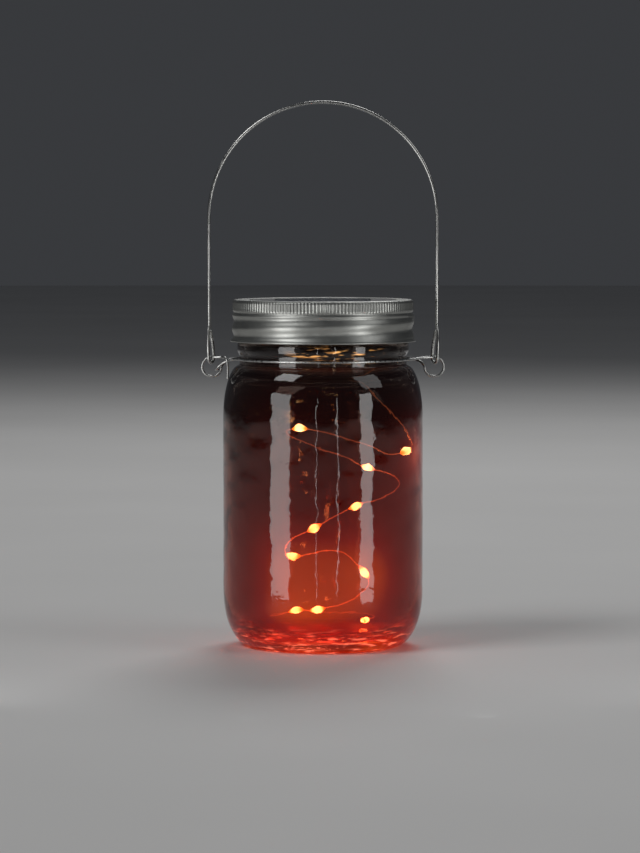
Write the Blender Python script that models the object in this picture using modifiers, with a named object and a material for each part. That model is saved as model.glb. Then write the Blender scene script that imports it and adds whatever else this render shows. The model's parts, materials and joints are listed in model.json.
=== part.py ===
"""Mason jar lantern: a glass jar with a wire bail, a screw band, and a solar insert with a light string.

Units are metres, +Z is up. The jar's axis is Z, and its foot stands at z = 0. The front faces -Y.
Heights are measured from the foot, radii from the axis.
"""

import math

import bmesh
import bpy
from mathutils import Vector

# ---- driving dimensions ----

SEGMENTS = 40  # facets round the jar and the band
SMALL_SEGMENTS = 16  # facets round a small turned piece
GAP = 0.0003  # clearance kept between touching pieces

JAR_HEIGHT = 0.1365
BODY_RADIUS = 0.0404
GLASS_WALL = 0.0027
HEEL_TOP_Z = 0.022
FOOT_RADIUS = 0.0296
SHOULDER_Z = 0.092
SHOULDER_TOP_Z = 0.1135
GROOVE_RADIUS = 0.0338
NECK_BEAD_RADIUS = 0.0346
NECK_BEAD_Z = (0.1190, 0.1230)
FINISH_RADIUS = 0.0333
MOUTH_RADIUS = 0.0306
FLOOR_Z = 0.0054

THREAD_PITCH = 0.00635
THREAD_RADIUS = 0.0013
JAR_THREAD_CENTRE = 0.0334
BAND_THREAD_CENTRE = 0.0353
BAND_THREAD_START_DEG = -177.0
BAND_THREAD_START_Z = 0.1252
BAND_THREAD_SWEEP_DEG = 420.0
JAR_THREAD_SWEEP_DEG = 450.0
JAR_THREAD_START_Z = 0.1261

BAND_TOP_Z = 0.1400
BAND_BOTTOM_Z = 0.1230
BAND_RADIUS = 0.0369
KNURL_RADIUS = 0.0366
KNURL_BOTTOM_Z = 0.1354
SHEET = 0.0007  # the band's wall
BAND_OPENING_RADIUS = 0.0293

FLANGE_RADIUS = 0.0350
FLANGE_Z = (0.1381, 0.1391)
PLATEAU_RADIUS = 0.0289
PLATEAU_TOP_Z = 0.1399
CAN_RADIUS = 0.0280
CAN_WALL = 0.0013
CAN_BOTTOM_Z = 0.1220
CAN_CEILING_Z = 0.1366
COVER_Z = (0.1195, 0.1217)
GASKET_Z = (0.1368, 0.1378)

PANEL_SIDE = 0.0380
RECESS_FLOOR_Z = 0.1381

BOSS_CIRCLE = 0.0226
BOSS_RADIUS = 0.0025
BOSS_ANGLES_DEG = (90.0, 215.0, 325.0)
BOSS_BORE_RADIUS = 0.00115
SCREW_SHANK_RADIUS = 0.0008
SCREW_HEAD_RADIUS = 0.0021
SCREW_HEAD_HEIGHT = 0.0008
SCREW_TIP_Z = 0.1290
SCREW_HOLE_RADIUS = 0.0012

BATTERY_RADIUS = 0.0051
BATTERY_LENGTH = 0.0445
BATTERY_Y = 0.0075
BATTERY_Z = 0.1290

BOARD_CENTRE = (0.0, -0.0125)
BOARD_SIZE = (0.0260, 0.0130, 0.0010)
BOARD_Z = 0.1275
SWITCH_X = -0.0070
SWITCH_Y = -0.0140
SWITCH_TRAVEL = 0.0020
SWITCH_SLOT_LENGTH = 0.0052
SWITCH_CASE = (0.0086, 0.0038, 0.0035)
GROMMET_XY = (0.0110, -0.0090)
GROMMET_RADIUS = 0.0018

NECK_WIRE_RADIUS = 0.0005
NECK_RING_RADIUS = 0.0346
NECK_RING_Z = 0.1160
EAR_X = 0.0450
EAR_Z = 0.1128
EAR_RADIUS = 0.0039
EAR_DRIFT = 0.0006
HINGE_Z = EAR_Z + EAR_RADIUS

BAIL_WIRE_RADIUS = 0.00065
BAIL_HALF_WIDTH = 0.0460
BAIL_ARCH_Z = 0.1734
BAIL_EYE_X = 0.0452
BAIL_EYE_RADIUS = 0.0022
BAIL_EYE_TURN_DEG = 28.0
BAIL_EYE_HEIGHT = 0.0103
BAIL_EYE_TOP_HALF_GAP = 0.0008
BAIL_LEG_FOOT_HEIGHT = 0.0126

STRING_RADIUS = 0.0003
STRING_STEP = 0.0070
LED_RADIUS = 0.0016
LED_BORE = 0.0007
LED_HALF_LENGTH = 0.0021

# The light string's route: down through the grommet, winding in front of the jar's axis, then round the
# floor. A point marked True carries a light.
STRING_ROUTE = (
    ((0.0110, -0.0090, 0.1270), False),
    ((0.0110, -0.0090, 0.1225), False),
    ((0.0110, -0.0090, 0.1185), False),
    ((0.0145, -0.0080, 0.1135), False),
    ((0.0220, -0.0085, 0.1010), False),
    ((0.0315, -0.0095, 0.0895), False),
    ((0.0350, -0.0095, 0.0825), False),
    ((0.0326, -0.0135, 0.0798), True),
    ((0.0260, -0.0170, 0.0786), False),
    ((0.0175, -0.0212, 0.0826), False),
    ((0.0060, -0.0230, 0.0863), False),
    ((-0.0040, -0.0225, 0.0888), False),
    ((-0.0091, -0.0215, 0.0893), True),
    ((-0.0145, -0.0180, 0.0882), False),
    ((-0.0120, -0.0140, 0.0856), False),
    ((-0.0010, -0.0100, 0.0805), False),
    ((0.0080, -0.0100, 0.0770), False),
    ((0.0175, -0.0120, 0.0729), True),
    ((0.0275, -0.0140, 0.0700), False),
    ((0.0300, -0.0130, 0.0655), False),
    ((0.0235, -0.0120, 0.0606), False),
    ((0.0130, -0.0130, 0.0572), True),
    ((0.0045, -0.0160, 0.0534), False),
    ((-0.0036, -0.0180, 0.0491), True),
    ((-0.0116, -0.0170, 0.0452), False),
    ((-0.0150, -0.0160, 0.0413), False),
    ((-0.0121, -0.0160, 0.0380), True),
    ((0.0070, -0.0185, 0.0396), False),
    ((0.0162, -0.0180, 0.0312), True),
    ((0.0176, -0.0180, 0.0255), False),
    ((0.0100, -0.0185, 0.0194), False),
    ((-0.0021, -0.0190, 0.0157), True),
    ((-0.0106, -0.0185, 0.0152), True),
    ((-0.0190, -0.0120, 0.0116), False),
    ((-0.0210, 0.0030, 0.0092), False),
    ((-0.0110, 0.0160, 0.0088), False),
    ((0.0050, 0.0185, 0.0088), False),
    ((0.0180, 0.0090, 0.0090), False),
    ((0.0210, -0.0040, 0.0094), False),
    ((0.0169, -0.0120, 0.0094), True),
)

# ---- scene helpers ----


def clear_scene():
    for item in list(bpy.data.objects):
        bpy.data.objects.remove(item, do_unlink=True)


def new_collection(name):
    found = bpy.data.collections.get(name) or bpy.data.collections.new(name)
    if found.name not in bpy.context.scene.collection.children:
        bpy.context.scene.collection.children.link(found)
    return found


def material(name, colour, roughness, metallic=0.0):
    made = bpy.data.materials.new(name)
    made.use_nodes = True
    shader = made.node_tree.nodes["Principled BSDF"]
    shader.inputs["Base Color"].default_value = (*colour, 1.0)
    shader.inputs["Roughness"].default_value = roughness
    shader.inputs["Metallic"].default_value = metallic
    made.diffuse_color = (*colour, 1.0)
    return made


def axis_empty(name, location):
    empty = bpy.data.objects.new(name, None)
    empty.location = location
    PARTS.objects.link(empty)
    return empty


def add_piece(name, data, surface, parent, location=(0.0, 0.0, 0.0)):
    """Put a mesh or a curve in the model as a named piece. The location is in the world."""
    piece = bpy.data.objects.new(name, data)
    data.materials.append(surface)
    PARTS.objects.link(piece)
    piece.parent = parent
    piece.location = Vector(location) - parent.location
    return piece


def add_cutter(name, data, location=(0.0, 0.0, 0.0)):
    cutter = bpy.data.objects.new(name, data)
    CUTTERS.objects.link(cutter)
    cutter.location = location
    cutter.hide_render = True
    cutter.display_type = "WIRE"
    return cutter


def combine(piece, other, operation):
    step = piece.modifiers.new(other.name, "BOOLEAN")
    step.operation = operation
    step.solver = "EXACT"
    step.object = other


def bevel(piece, width):
    step = piece.modifiers.new("Rounded edges", "BEVEL")
    step.width = width
    step.segments = 1
    step.limit_method = "ANGLE"


# ---- shape helpers ----


def box_mesh(name, size, centre=(0.0, 0.0, 0.0)):
    work = bmesh.new()
    bmesh.ops.create_cube(work, size=1.0)
    bmesh.ops.scale(work, vec=size, verts=work.verts)
    bmesh.ops.translate(work, vec=centre, verts=work.verts)
    return finished_mesh(name, work)


def cylinder_mesh(name, radius, z_range, centre=(0.0, 0.0), segments=SMALL_SEGMENTS):
    work = bmesh.new()
    low, high = z_range
    bmesh.ops.create_cone(
        work, cap_ends=True, segments=segments, radius1=radius, radius2=radius, depth=high - low
    )
    bmesh.ops.translate(work, vec=(*centre, (low + high) / 2), verts=work.verts)
    return finished_mesh(name, work)


def finished_mesh(name, work):
    mesh = bpy.data.meshes.new(name)
    work.to_mesh(mesh)
    work.free()
    return mesh


def smooth_shading(mesh):
    mesh.shade_smooth()
    mesh.set_sharp_from_angle(angle=math.radians(35.0))


def turned(name, profile, surface, parent, closed, segments=SMALL_SEGMENTS, location=(0.0, 0.0, 0.0)):
    """Turn a profile of (radius, height) points round Z. It runs down its outer side."""
    count = len(profile)
    edges = [(k, k + 1) for k in range(count - 1)]
    if closed:
        edges.append((count - 1, 0))
    mesh = bpy.data.meshes.new(name)
    mesh.from_pydata([(radius, 0.0, height) for radius, height in profile], edges, [])
    piece = add_piece(name, mesh, surface, parent, location)
    turn = piece.modifiers.new("Turn", "SCREW")
    turn.angle = math.tau
    turn.steps = segments
    turn.render_steps = segments
    turn.use_merge_vertices = True
    turn.merge_threshold = 0.00001
    turn.use_smooth_shade = True
    return piece


def ellipse_arc(centre, radii, start_deg, end_deg, steps):
    """Points of (radius, height) along an ellipse, both ends included."""
    points = []
    for k in range(steps + 1):
        angle = math.radians(start_deg + (end_deg - start_deg) * k / steps)
        points.append((centre[0] + radii[0] * math.cos(angle), centre[1] + radii[1] * math.sin(angle)))
    return points


def wire_curve(name, points, radius, taper_ends=False):
    """A round wire through the points, with closed ends."""
    curve = bpy.data.curves.new(name, "CURVE")
    curve.dimensions = "3D"
    curve.bevel_depth = radius
    curve.bevel_resolution = 2
    curve.use_fill_caps = True
    spline = curve.splines.new("POLY")
    spline.points.add(len(points) - 1)
    for target, point in zip(spline.points, points):
        target.co = (*point, 1.0)
    if taper_ends:
        spline.points[0].radius = 0.3
        spline.points[-1].radius = 0.3
    return curve


def mesh_from_curve(name, curve):
    """The curve's tube as a closed mesh, with its caps welded on."""
    holder = bpy.data.objects.new(name, curve)
    CUTTERS.objects.link(holder)
    bpy.context.view_layer.update()
    evaluated = holder.evaluated_get(bpy.context.evaluated_depsgraph_get())
    mesh = bpy.data.meshes.new_from_object(evaluated)
    bpy.data.objects.remove(holder, do_unlink=True)
    work = bmesh.new()
    work.from_mesh(mesh)
    bmesh.ops.remove_doubles(work, verts=work.verts, dist=0.000001)
    bmesh.ops.recalc_face_normals(work, faces=work.faces)
    work.to_mesh(mesh)
    work.free()
    mesh.materials.clear()
    return mesh


def thread_mesh(name, centre_radius, start_deg, start_z, sweep_deg):
    """A right-hand helical ridge with tapered ends."""
    steps = round(SEGMENTS * sweep_deg / 360.0)
    points = []
    for k in range(steps + 1):
        turned_deg = sweep_deg * k / steps
        angle = math.radians(start_deg + turned_deg)
        height = start_z + THREAD_PITCH * turned_deg / 360.0
        points.append((centre_radius * math.cos(angle), centre_radius * math.sin(angle), height))
    return mesh_from_curve(name, wire_curve(name, points, THREAD_RADIUS, taper_ends=True))


def jar_thread_start_deg():
    """The jar's ridge runs half a pitch above the band's ridge, so that the two never meet."""
    rise = JAR_THREAD_START_Z - THREAD_PITCH / 2 - BAND_THREAD_START_Z
    return BAND_THREAD_START_DEG + 360.0 * rise / THREAD_PITCH


# ---- glass jar ----


def jar_outline():
    inside_body = BODY_RADIUS - GLASS_WALL
    heel_centre = 0.0265
    floor_dome = [(0.0, FLOOR_Z + 0.0018), (0.0140, FLOOR_Z + 0.0010)]
    inner_heel = ellipse_arc(
        (heel_centre, HEEL_TOP_Z), (inside_body - heel_centre, HEEL_TOP_Z - FLOOR_Z), -90.0, 0.0, 6
    )
    inner_shoulder = ellipse_arc(
        (MOUTH_RADIUS, SHOULDER_Z - 0.002), (inside_body - MOUTH_RADIUS, 0.0195), 0.0, 90.0, 5
    )
    rim = [
        (MOUTH_RADIUS, JAR_HEIGHT - 0.0008),
        (MOUTH_RADIUS + 0.0008, JAR_HEIGHT),
        (FINISH_RADIUS - 0.0008, JAR_HEIGHT),
        (FINISH_RADIUS, JAR_HEIGHT - 0.0008),
    ]
    low, high = NECK_BEAD_Z
    neck = [
        (FINISH_RADIUS, high + 0.0008),
        (NECK_BEAD_RADIUS, high - 0.0004),
        (NECK_BEAD_RADIUS, low),
        (GROOVE_RADIUS, low - 0.0010),
    ]
    shoulder = ellipse_arc(
        (GROOVE_RADIUS, SHOULDER_Z),
        (BODY_RADIUS - GROOVE_RADIUS, SHOULDER_TOP_Z - SHOULDER_Z),
        90.0,
        0.0,
        6,
    )
    heel = ellipse_arc((FOOT_RADIUS, HEEL_TOP_Z), (BODY_RADIUS - FOOT_RADIUS, HEEL_TOP_Z), 0.0, -78.0, 6)
    foot = [(FOOT_RADIUS + 0.0010, 0.0), (FOOT_RADIUS - 0.0020, 0.0), (0.0240, 0.0010), (0.0, 0.0024)]
    return floor_dome + inner_heel + inner_shoulder + rim + neck + shoulder + heel + foot


def make_glass_jar(parent):
    glass = material("jar glass", (0.35, 0.06, 0.04), 0.05)
    jar = turned("glass_jar", jar_outline(), glass, parent, closed=False, segments=SEGMENTS)
    ridge = thread_mesh(
        "jar thread", JAR_THREAD_CENTRE, jar_thread_start_deg(), JAR_THREAD_START_Z, JAR_THREAD_SWEEP_DEG
    )
    combine(jar, add_cutter("jar thread", ridge), "UNION")


# ---- neck wire and bail ----


def ring_points(start_deg, end_deg, steps):
    """Points along the neck ring."""
    points = []
    for k in range(steps + 1):
        angle = math.radians(start_deg + (end_deg - start_deg) * k / steps)
        x, y = NECK_RING_RADIUS * math.cos(angle), NECK_RING_RADIUS * math.sin(angle)
        points.append((x, y, NECK_RING_Z))
    return points


def ear_points(side, steps=14):
    """Three quarters of a loop in the XZ plane, from its top, over its outer side, to its inner side. It
    starts on the hinge line, where the bail's eye hangs, and drifts back so that its ends pass."""
    points = []
    for k in range(steps + 1):
        angle = math.radians(90.0 - 270.0 * k / steps)
        x = side * (EAR_X + EAR_RADIUS * math.cos(angle))
        points.append((x, EAR_DRIFT * k / steps, EAR_Z + EAR_RADIUS * math.sin(angle)))
    return points


def neck_wire_points():
    """One wire: a hooked end, half a ring, the right ear, the other half ring, the left ear, a tail."""
    hook = [
        (-0.0424, 0.0016, 0.1118),
        (-0.0432, 0.0002, 0.1116),
        (-0.0428, -0.0014, 0.1124),
        (-0.0412, -0.0022, 0.1138),
        (-0.0390, -0.0030, 0.1152),
        (-0.0362, -0.0048, 0.1159),
    ]
    front = ring_points(-168.0, -12.0, 26)
    to_right_ear = [(0.0362, -0.0048, NECK_RING_Z), (0.0400, -0.0018, HINGE_Z - 0.0002)]
    right_ear = ear_points(1.0)
    from_right_ear = [(0.0398, 0.0016, 0.1146), (0.0368, 0.0042, NECK_RING_Z - 0.0002)]
    back = ring_points(12.0, 168.0, 26)
    to_left_ear = [(-0.0368, 0.0042, NECK_RING_Z - 0.0002), (-0.0398, 0.0016, 0.1146)]
    left_ear = list(reversed(ear_points(-1.0)))
    tail = [
        (-0.0408, -0.0014, 0.1167),
        (-0.0395, -0.0034, 0.1166),
        (-0.0387, -0.0050, 0.1152),
        (-0.0384, -0.0058, 0.1130),
        (-0.0384, -0.0062, 0.1085),
    ]
    right_side = front + to_right_ear + right_ear + from_right_ear
    left_side = back + to_left_ear + left_ear + tail
    return hook + right_side + left_side


def make_neck_wire(parent):
    steel = material("neck wire steel", (0.42, 0.42, 0.41), 0.3, 1.0)
    curve = wire_curve("neck_wire", neck_wire_points(), NECK_WIRE_RADIUS)
    add_piece("neck_wire", mesh_from_curve("neck_wire", curve), steel, parent)


def bail_end_points():
    """The right end, from the wire's free end, down and round the eye, up to the foot of the leg. The eye is
    a narrow drop shape. It hangs on the hinge line, turned a little about the upright."""
    turn = math.radians(BAIL_EYE_TURN_DEG)
    side = [(BAIL_EYE_TOP_HALF_GAP, BAIL_EYE_HEIGHT), (0.8 * BAIL_EYE_RADIUS, 0.6 * BAIL_EYE_HEIGHT)]
    bottom = ellipse_arc((0.0, 0.0), (BAIL_EYE_RADIUS, BAIL_EYE_RADIUS), 0.0, -180.0, 8)
    outline = side + bottom + [(-across, height) for across, height in reversed(side)]
    points = []
    for across, height in outline:
        lean = (BAIL_HALF_WIDTH - BAIL_EYE_X) * max(0.0, height) / BAIL_LEG_FOOT_HEIGHT
        x = BAIL_EYE_X + lean - across * math.sin(turn)
        points.append((x, across * math.cos(turn), HINGE_Z + height))
    points.append((BAIL_HALF_WIDTH, 0.0, HINGE_Z + BAIL_LEG_FOOT_HEIGHT))
    return points


def bail_points():
    right = bail_end_points()
    left = [(-x, y, z) for x, y, z in reversed(right)]
    arch = []
    for k in range(25):
        angle = math.pi * k / 24
        x = BAIL_HALF_WIDTH * math.cos(angle)
        arch.append((x, 0.0, BAIL_ARCH_Z + BAIL_HALF_WIDTH * math.sin(angle)))
    return right + arch + left


def make_bail(parent):
    steel = material("bail steel", (0.45, 0.45, 0.44), 0.25, 1.0)
    points = [(x, y, z - HINGE_Z) for x, y, z in bail_points()]
    curve = wire_curve("bail_handle", points, BAIL_WIRE_RADIUS)
    add_piece("bail_handle", mesh_from_curve("bail_handle", curve), steel, parent, (0.0, 0.0, HINGE_Z))


# ---- screw band ----


def band_outline():
    inside = BAND_RADIUS - SHEET
    return [
        (BAND_OPENING_RADIUS, BAND_TOP_Z),
        (KNURL_RADIUS - 0.0006, BAND_TOP_Z),
        (KNURL_RADIUS, BAND_TOP_Z - 0.0006),
        (KNURL_RADIUS, KNURL_BOTTOM_Z),
        (KNURL_RADIUS - 0.0005, KNURL_BOTTOM_Z - 0.0006),
        (BAND_RADIUS, KNURL_BOTTOM_Z - 0.0013),
        (BAND_RADIUS, BAND_BOTTOM_Z + 0.0012),
        (BAND_RADIUS + 0.0006, BAND_BOTTOM_Z + 0.0008),
        (BAND_RADIUS + 0.0006, BAND_BOTTOM_Z + 0.0003),
        (BAND_RADIUS + 0.0002, BAND_BOTTOM_Z),
        (inside + 0.0002, BAND_BOTTOM_Z),
        (inside, BAND_BOTTOM_Z + 0.0006),
        (inside, KNURL_BOTTOM_Z - 0.0014),
        (KNURL_RADIUS - 0.0005 - SHEET, KNURL_BOTTOM_Z - 0.0007),
        (KNURL_RADIUS - SHEET, KNURL_BOTTOM_Z),
        (KNURL_RADIUS - SHEET, BAND_TOP_Z - 0.0006),
        (BAND_OPENING_RADIUS, BAND_TOP_Z - 0.0006),
    ]


def make_screw_band(parent):
    tin = material("band tinplate", (0.50, 0.50, 0.48), 0.3, 1.0)
    band = turned("screw_band", band_outline(), tin, parent, closed=True, segments=SEGMENTS)
    start_deg, start_z = BAND_THREAD_START_DEG, BAND_THREAD_START_Z
    ridge = thread_mesh("band thread", BAND_THREAD_CENTRE, start_deg, start_z, BAND_THREAD_SWEEP_DEG)
    combine(band, add_cutter("band thread", ridge), "UNION")


# ---- solar insert ----


def boss_centres():
    centres = []
    for degrees in BOSS_ANGLES_DEG:
        angle = math.radians(degrees)
        centres.append((BOSS_CIRCLE * math.cos(angle), BOSS_CIRCLE * math.sin(angle)))
    return centres


def make_gasket(parent):
    rubber = material("gasket rubber", (0.05, 0.05, 0.05), 0.8)
    low, high = GASKET_Z
    inner, outer = MOUTH_RADIUS + 0.0002, FLANGE_RADIUS
    outline = [(inner, high), (outer, high), (outer, low), (inner, low)]
    turned("gasket", outline, rubber, parent, closed=True, segments=SEGMENTS)


def make_insert_housing(parent):
    """A flange and a raised top over an open can, with a square recess for the panel and three bosses."""
    plastic = material("insert plastic", (0.03, 0.03, 0.032), 0.45)
    low, high = FLANGE_Z
    inside = CAN_RADIUS - CAN_WALL
    outline = [
        (0.0, CAN_CEILING_Z),
        (inside, CAN_CEILING_Z),
        (inside, CAN_BOTTOM_Z),
        (CAN_RADIUS, CAN_BOTTOM_Z),
        (CAN_RADIUS, low),
        (FLANGE_RADIUS, low),
        (FLANGE_RADIUS, high),
        (PLATEAU_RADIUS, high),
        (PLATEAU_RADIUS, PLATEAU_TOP_Z),
        (0.0, PLATEAU_TOP_Z),
    ]
    outline.reverse()
    housing = turned("insert_housing", outline, plastic, parent, closed=False, segments=SEGMENTS)
    side = PANEL_SIDE + 2 * GAP
    recess = box_mesh("panel recess", (side, side, 0.004), (0.0, 0.0, RECESS_FLOOR_Z + 0.002))
    combine(housing, add_cutter("panel recess", recess), "DIFFERENCE")
    for k, centre in enumerate(boss_centres(), 1):
        boss = cylinder_mesh(f"boss {k}", BOSS_RADIUS, (CAN_BOTTOM_Z, CAN_CEILING_Z + 0.0005), centre)
        combine(housing, add_cutter(f"boss {k}", boss), "UNION")
        bore_range = (CAN_BOTTOM_Z - 0.001, SCREW_TIP_Z + 0.0015)
        bore = cylinder_mesh(f"boss bore {k}", BOSS_BORE_RADIUS, bore_range, centre)
        combine(housing, add_cutter(f"boss bore {k}", bore), "DIFFERENCE")


def make_insert_cover(parent):
    plastic = material("cover plastic", (0.04, 0.04, 0.042), 0.45)
    low, high = COVER_Z
    disc = cylinder_mesh("insert_cover", CAN_RADIUS, COVER_Z, segments=SEGMENTS)
    cover = add_piece("insert_cover", disc, plastic, parent)
    for k, centre in enumerate(boss_centres(), 1):
        sink_range = (low - 0.001, low + SCREW_HEAD_HEIGHT + 0.0004)
        sink = cylinder_mesh(f"screw sink {k}", SCREW_HEAD_RADIUS + 0.0004, sink_range, centre)
        hole = cylinder_mesh(f"screw hole {k}", SCREW_HOLE_RADIUS, (low, high + 0.001), centre)
        combine(cover, add_cutter(f"screw sink {k}", sink), "DIFFERENCE")
        combine(cover, add_cutter(f"screw hole {k}", hole), "DIFFERENCE")
    wire_hole = cylinder_mesh("wire hole", GROMMET_RADIUS + GAP, (low - 0.001, high + 0.001), GROMMET_XY)
    combine(cover, add_cutter("wire hole", wire_hole), "DIFFERENCE")
    slot_centre = (SWITCH_X + SWITCH_TRAVEL / 2, SWITCH_Y, (low + high) / 2)
    slot = box_mesh("switch slot", (SWITCH_SLOT_LENGTH, 0.0026, 0.006), slot_centre)
    combine(cover, add_cutter("switch slot", slot), "DIFFERENCE")


def make_cover_screws(parent):
    """Each screw has a flat head sunk in the cover and a shank in its boss."""
    steel = material("screw steel", (0.55, 0.55, 0.54), 0.35, 1.0)
    head_low = COVER_Z[0] + 0.0001
    head_high = head_low + SCREW_HEAD_HEIGHT
    outline = [
        (0.0, SCREW_TIP_Z),
        (SCREW_SHANK_RADIUS, SCREW_TIP_Z),
        (SCREW_SHANK_RADIUS, head_high),
        (SCREW_HEAD_RADIUS, head_high),
        (SCREW_HEAD_RADIUS, head_low),
        (0.0, head_low),
    ]
    for k, centre in enumerate(boss_centres(), 1):
        turned(f"cover_screw_{k}", outline, steel, parent, closed=False, location=(*centre, 0.0))


def make_wire_grommet(parent):
    rubber = material("grommet rubber", (0.06, 0.06, 0.06), 0.8)
    low, high = COVER_Z
    bore, body, collar = 0.0007, GROMMET_RADIUS, 0.0030
    outline = [
        (bore, high + 0.0010),
        (body, high + 0.0010),
        (body, low - GAP),
        (collar, low - GAP),
        (collar, low - GAP - 0.0008),
        (bore, low - GAP - 0.0008),
    ]
    turned("wire_grommet", outline, rubber, parent, closed=True, location=(*GROMMET_XY, 0.0))


def make_solar_panel(parent):
    board = material("panel board", (0.02, 0.05, 0.03), 0.6)
    silicon = material("solar cell silicon", (0.015, 0.02, 0.05), 0.3)
    clear = material("panel cover resin", (0.05, 0.05, 0.07), 0.1)
    base = RECESS_FLOOR_Z + GAP
    board_size = (PANEL_SIDE, PANEL_SIDE, 0.0004)
    add_piece("panel_board", box_mesh("panel_board", board_size, (0, 0, base + 0.0002)), board, parent)
    cell_size = (PANEL_SIDE - 0.0010, PANEL_SIDE - 0.0010, 0.00015)
    cells = box_mesh("solar_cells", cell_size, (0.0, 0.0, base + 0.0004 + GAP))
    add_piece("solar_cells", cells, silicon, parent)
    cover_low = base + 0.0008 + GAP
    cover_size = (PANEL_SIDE, PANEL_SIDE, PLATEAU_TOP_Z - cover_low)
    cover = box_mesh("panel_cover", cover_size, (0.0, 0.0, (PLATEAU_TOP_Z + cover_low) / 2))
    add_piece("panel_cover", cover, clear, parent)


def make_battery(parent):
    wrap = material("battery sleeve", (0.10, 0.35, 0.16), 0.35)
    tray_plastic = material("tray plastic", (0.05, 0.05, 0.052), 0.5)
    spring_steel = material("contact steel", (0.6, 0.58, 0.52), 0.3, 1.0)
    half = BATTERY_LENGTH / 2
    outline = [
        (0.0, half),
        (0.0018, half),
        (0.0018, half - 0.0010),
        (BATTERY_RADIUS, half - 0.0010),
        (BATTERY_RADIUS, -half),
        (0.0, -half),
    ]
    cell = turned("battery", outline, wrap, parent, closed=False, location=(0.0, BATTERY_Y, BATTERY_Z))
    cell.rotation_euler = (0.0, math.radians(90.0), 0.0)
    tray_size = (0.040, 0.0130, 0.0060)
    tray_mesh = box_mesh("battery_tray", tray_size, (0.0, BATTERY_Y, COVER_Z[1] + GAP + 0.0030))
    tray = add_piece("battery_tray", tray_mesh, tray_plastic, parent)
    trough_mesh = cylinder_mesh("battery trough", BATTERY_RADIUS + GAP, (-0.03, 0.03))
    trough = add_cutter("battery trough", trough_mesh, (0.0, BATTERY_Y, BATTERY_Z))
    trough.rotation_euler = (0.0, math.radians(90.0), 0.0)
    combine(tray, trough, "DIFFERENCE")
    reach = half + GAP + 0.0002
    for name, x in (("contact_positive", reach), ("contact_negative", -reach)):
        plate = box_mesh(name, (0.0004, 0.0070, 0.0090), (x, BATTERY_Y, BATTERY_Z))
        add_piece(name, plate, spring_steel, parent)


def make_electronics(parent):
    laminate = material("circuit laminate", (0.02, 0.16, 0.07), 0.5)
    epoxy = material("chip epoxy", (0.02, 0.02, 0.02), 0.4)
    ferrite = material("inductor body", (0.30, 0.34, 0.16), 0.45)
    shell = material("switch shell", (0.60, 0.60, 0.58), 0.3, 1.0)
    x, y = BOARD_CENTRE
    width, depth, thick = BOARD_SIZE
    middle = BOARD_Z + thick / 2
    top = BOARD_Z + thick + GAP
    board = box_mesh("circuit_board", (width, depth, thick), (x, y, middle))
    add_piece("circuit_board", board, laminate, parent)
    chip = box_mesh("driver_chip", (0.0050, 0.0040, 0.0015), (x + 0.004, y, top + 0.00075))
    bevel(add_piece("driver_chip", chip, epoxy, parent), 0.0002)
    coil = cylinder_mesh("inductor", 0.0020, (top, top + 0.0040), (x - 0.005, y + 0.002))
    add_piece("inductor", coil, ferrite, parent)
    switch_x = SWITCH_X + SWITCH_TRAVEL / 2
    low = BOARD_Z - GAP - SWITCH_CASE[2]
    case_centre = (switch_x, SWITCH_Y, low + SWITCH_CASE[2] / 2)
    case = add_piece("switch_body", box_mesh("switch_body", SWITCH_CASE, case_centre), shell, parent)
    slot = box_mesh("switch body slot", (SWITCH_SLOT_LENGTH, 0.0024, 0.0030), (switch_x, SWITCH_Y, low))
    combine(case, add_cutter("switch body slot", slot), "DIFFERENCE")


def make_switch_knob(parent):
    plastic = material("knob plastic", (0.85, 0.85, 0.82), 0.4)
    low, high = COVER_Z[0] - 0.0008, BOARD_Z - GAP - 0.0024
    size = (0.0022, 0.0016, high - low)
    knob = box_mesh("switch_knob", size, (0.0, 0.0, (low + high) / 2 - COVER_Z[0]))
    bevel(add_piece("switch_knob", knob, plastic, parent, (SWITCH_X, SWITCH_Y, COVER_Z[0])), 0.0002)


# ---- light string ----


def expanded_route():
    """The route with each light's point replaced by the two ends of its straight stretch."""
    places = [Vector(point) for point, _ in STRING_ROUTE]
    last = len(places) - 1
    route = []
    for k, (point, is_light) in enumerate(STRING_ROUTE):
        if not is_light:
            route.append((Vector(point), False))
            continue
        along = (places[min(k + 1, last)] - places[k - 1]).normalized()
        reach = along * (LED_HALF_LENGTH + 0.0003)
        route.append((places[k] - reach, True))
        route.append((places[k] + reach, False))
    return route


def hermite(start, end, start_slope, end_slope, t):
    return (
        start * (2 * t**3 - 3 * t**2 + 1)
        + start_slope * (t**3 - 2 * t**2 + t)
        + end * (3 * t**2 - 2 * t**3)
        + end_slope * (t**3 - t**2)
    )


def string_points():
    """Points of a smooth curve through the route, straight only inside the lights."""
    route = expanded_route()
    places = [place for place, _ in route]
    last = len(places) - 1
    points = [places[0]]
    for k in range(last):
        start, end = places[k], places[k + 1]
        span = (end - start).length
        pieces = 1 if route[k][1] else max(1, round(span / STRING_STEP))
        before, after = places[max(k - 1, 0)], places[min(k + 2, last)]
        start_slope = (end - before).normalized() * span
        end_slope = (after - start).normalized() * span
        for step in range(1, pieces + 1):
            points.append(hermite(start, end, start_slope, end_slope, step / pieces))
    return points


def make_light_string(parent):
    copper = material("string copper", (0.72, 0.38, 0.20), 0.3, 1.0)
    curve = wire_curve("string_wire", string_points(), STRING_RADIUS)
    add_piece("string_wire", curve, copper, parent)


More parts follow.
